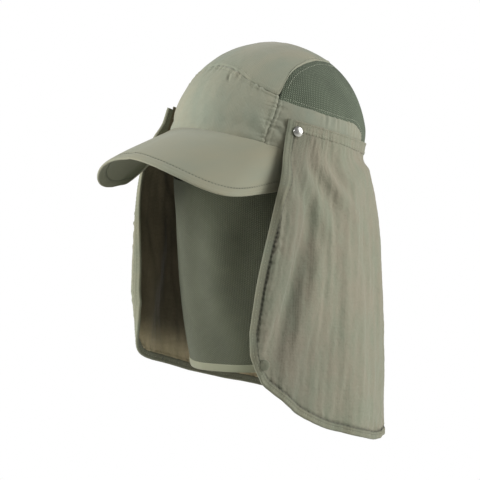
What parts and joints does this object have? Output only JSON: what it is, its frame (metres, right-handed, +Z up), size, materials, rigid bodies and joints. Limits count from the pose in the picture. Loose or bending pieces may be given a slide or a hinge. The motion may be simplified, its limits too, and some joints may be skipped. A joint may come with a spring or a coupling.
{
  "type": "legionnaire cap",
  "caption": "Legionnaire cap with a curved peak, woven and mesh crown, long neck flap snapped on at the temples, and a mesh veil hanging inside it below the eyes",
  "frame": {"origin": "centre of the head opening, in the plane of the crown's lower rim, where the cap sits on the head", "axes": "+Z up with the cap as it is worn, the peak points along -Y, +X is the wearer's left"},
  "size_m": [0.2043, 0.2959, 0.3862],
  "materials": {
    "woven_cloth": "matt ripstop-like woven nylon, sage green",
    "flap_cloth": "matt soft woven nylon, sage green",
    "crown_mesh": "open knitted polyester mesh, dark green",
    "veil_mesh": "fine knitted polyester mesh, dark green",
    "binding_tape": "folded woven tape",
    "hem_tape": "light woven tape",
    "snap_metal": "satin nickel plated steel",
    "snap_cap": "cloth-coloured cap"
  },
  "bodies": {
    "root": {"front_panel": "woven_cloth", "side_band_left": "woven_cloth", "side_band_right": "woven_cloth", "crown_mesh": "crown_mesh", "top_panel": "woven_cloth", "peak": "woven_cloth", "flap_top_band": "flap_cloth", "neck_flap": "flap_cloth", "flap_binding": "binding_tape", "face_veil": "veil_mesh", "veil_hem": "hem_tape", "snap_upper_left": "snap_metal", "snap_upper_right": "snap_metal", "snap_lower_left": "snap_cap", "snap_lower_right": "snap_cap"}
  },
  "joints": []
}
